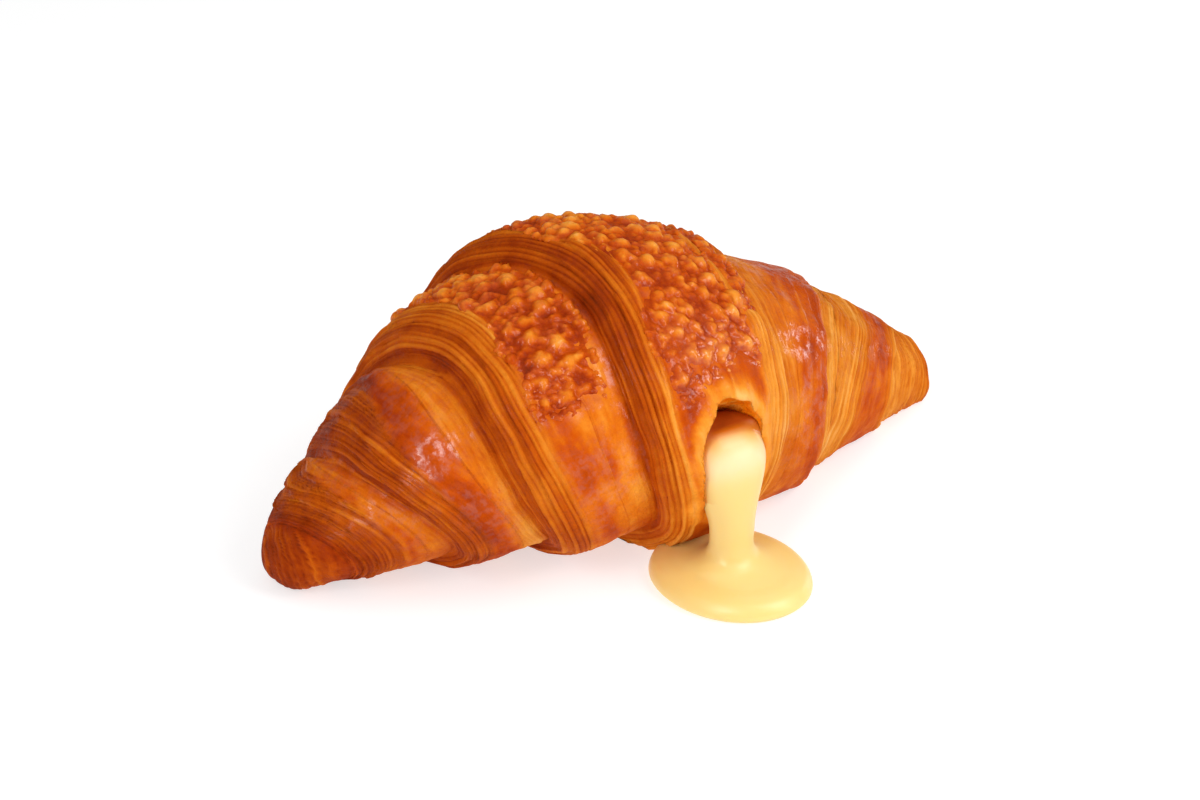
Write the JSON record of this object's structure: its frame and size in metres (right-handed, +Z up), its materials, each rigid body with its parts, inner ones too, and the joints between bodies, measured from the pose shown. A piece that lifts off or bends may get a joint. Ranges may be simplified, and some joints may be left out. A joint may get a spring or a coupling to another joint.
{
  "type": "cheese croissant",
  "caption": "Baked crescent roll with stepped, layered bands and a crumbly baked cheese top; melted cheese runs from a hole in its front into a small pool.",
  "frame": {"origin": "middle of the whole part's outline seen from above, at the height of the table that it lies on", "axes": "+X along the roll, -Y to the front where the cheese runs out, +Z up"},
  "size_m": [0.1678, 0.095, 0.0692],
  "materials": {
    "baked_dough": "egg-washed golden brown crust, glossy on the crests and matte on the layered walls",
    "melted_cheese": "smooth, pale yellow and softly glossy"
  },
  "bodies": {
    "root": {"croissant": "baked_dough", "cheese_filling": "melted_cheese"}
  },
  "joints": []
}
